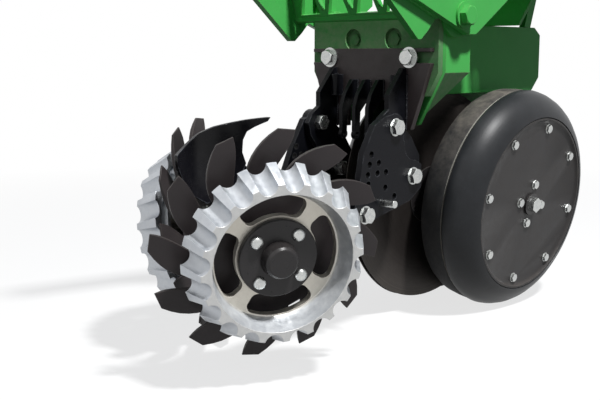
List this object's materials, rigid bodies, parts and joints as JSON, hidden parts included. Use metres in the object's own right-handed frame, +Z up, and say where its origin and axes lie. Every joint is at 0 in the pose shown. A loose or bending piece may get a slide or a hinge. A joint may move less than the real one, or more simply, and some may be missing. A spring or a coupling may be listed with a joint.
{
  "type": "planter row unit front end with row cleaner",
  "caption": "Front end of a planter row unit: frame, opener discs, lifting gauge wheels, lower link arms and a floating row cleaner with toothed and notched cast wheels.",
  "frame": {"origin": "middle of the axis of the two upper link bores in the frame ears, which is where the toolbar holds the unit", "axes": "+Z up, -Y forward in the direction of travel, +X to the machine's left; the two sides mirror about X = 0 except that the right cleaner wheel sits behind the left one"},
  "size_m": [0.4216, 0.9808, 0.7318],
  "materials": {
    "green_paint": "semi-gloss green enamel",
    "black_paint": "satin black paint",
    "tooth_steel": "satin brown-black paint",
    "zinc": "bright zinc plating",
    "cast_aluminium": "bright machined casting",
    "tyre_rubber": "dusty black rubber",
    "rim_paint": "dull brown-black paint",
    "dark_steel": "dark scoured steel",
    "black_plastic": "matte"
  },
  "bodies": {
    "shank": {"face_plate": "green_paint", "face_bolts": "green_paint", "bulkhead": "green_paint", "left_side_plate": "green_paint", "right_side_plate": "green_paint", "left_slant_wall": "green_paint", "right_slant_wall": "green_paint", "mid_beam": "green_paint", "shank_leg": "green_paint", "seed_tube": "black_plastic", "disc_spindles": "dark_steel", "gauge_shaft": "dark_steel", "link_bolts": "green_paint", "hopper_deck": "green_paint", "bracket_plate": "black_paint", "left_bracket_lug": "black_paint", "right_bracket_lug": "black_paint", "centre_lugs": "black_paint", "bracket_bolts": "zinc", "float_bolts": "zinc"},
    "lower_arms": {"left_link_arm": "green_paint", "right_link_arm": "green_paint", "link_web": "green_paint"},
    "cleaner_frame": {"left_cleaner_arm": "black_paint", "right_cleaner_arm": "black_paint", "cross_tube": "black_paint", "left_hub_bar": "black_paint", "right_hub_bar": "black_paint", "arm_bolts": "zinc", "stop_pins": "zinc", "shield": "black_paint", "shield_rod": "black_paint"},
    "left_disc": {"left_opener_disc": "dark_steel", "left_disc_hub": "black_paint"},
    "left_gauge_arm": {"left_gauge_arm": "green_paint", "left_gauge_axle": "zinc"},
    "left_gauge_wheel": {"left_tyre": "tyre_rubber", "left_rim_outer": "rim_paint", "left_rim_inner": "rim_paint", "left_rim_bolts": "zinc", "left_gauge_hub": "black_paint"},
    "left_cleaner_wheel": {"left_tooth_wheel": "tooth_steel", "left_floater": "cast_aluminium", "left_cleaner_hub": "black_paint", "left_hub_cap": "black_paint", "left_hub_bolts": "zinc"},
    "right_disc": {"right_opener_disc": "dark_steel", "right_disc_hub": "black_paint"},
    "right_gauge_arm": {"right_gauge_arm": "green_paint", "right_gauge_axle": "zinc"},
    "right_gauge_wheel": {"right_tyre": "tyre_rubber", "right_rim_outer": "rim_paint", "right_rim_inner": "rim_paint", "right_rim_bolts": "zinc", "right_gauge_hub": "black_paint"},
    "right_cleaner_wheel": {"right_tooth_wheel": "tooth_steel", "right_floater": "cast_aluminium", "right_cleaner_hub": "black_paint", "right_hub_cap": "black_paint", "right_hub_bolts": "zinc"}
  },
  "joints": [
    {"name": "lower_arms_swing", "type": "hinge", "parent": "shank", "child": "lower_arms", "pos_m": [0, 0, -0.17], "axis": [1, 0, 0], "range_deg": [0, 20]},
    {"name": "cleaner_float", "type": "hinge", "parent": "shank", "child": "cleaner_frame", "pos_m": [0, -0.094, -0.348], "axis": [-1, 0, 0], "range_deg": [0, 15]},
    {"name": "left_disc_spin", "type": "hinge", "parent": "shank", "child": "left_disc", "pos_m": [0.0225, 0.095, -0.483], "axis": [0.9945, -0.0783, -0.0698], "continuous": true},
    {"name": "left_gauge_lift", "type": "hinge", "parent": "shank", "child": "left_gauge_arm", "pos_m": [0, 0.412, -0.4], "axis": [-1, 0, 0], "range_deg": [0, 20]},
    {"name": "left_gauge_spin", "type": "hinge", "parent": "left_gauge_arm", "child": "left_gauge_wheel", "pos_m": [0.105, 0.232, -0.497], "axis": [0.9927, -0.0087, -0.1201], "continuous": true},
    {"name": "left_cleaner_spin", "type": "hinge", "parent": "cleaner_frame", "child": "left_cleaner_wheel", "pos_m": [0.137, -0.394, -0.512], "axis": [0.8932, -0.4071, -0.1908], "continuous": true},
    {"name": "right_disc_spin", "type": "hinge", "parent": "shank", "child": "right_disc", "pos_m": [-0.0225, 0.095, -0.483], "axis": [-0.9945, -0.0783, -0.0698], "continuous": true},
    {"name": "right_gauge_lift", "type": "hinge", "parent": "shank", "child": "right_gauge_arm", "pos_m": [0, 0.412, -0.4], "axis": [-1, 0, 0], "range_deg": [0, 20]},
    {"name": "right_gauge_spin", "type": "hinge", "parent": "right_gauge_arm", "child": "right_gauge_wheel", "pos_m": [-0.105, 0.232, -0.497], "axis": [-0.9927, -0.0087, -0.1201], "continuous": true},
    {"name": "right_cleaner_spin", "type": "hinge", "parent": "cleaner_frame", "child": "right_cleaner_wheel", "pos_m": [-0.137, -0.336, -0.512], "axis": [-0.8932, -0.4071, -0.1908], "continuous": true}
  ]
}
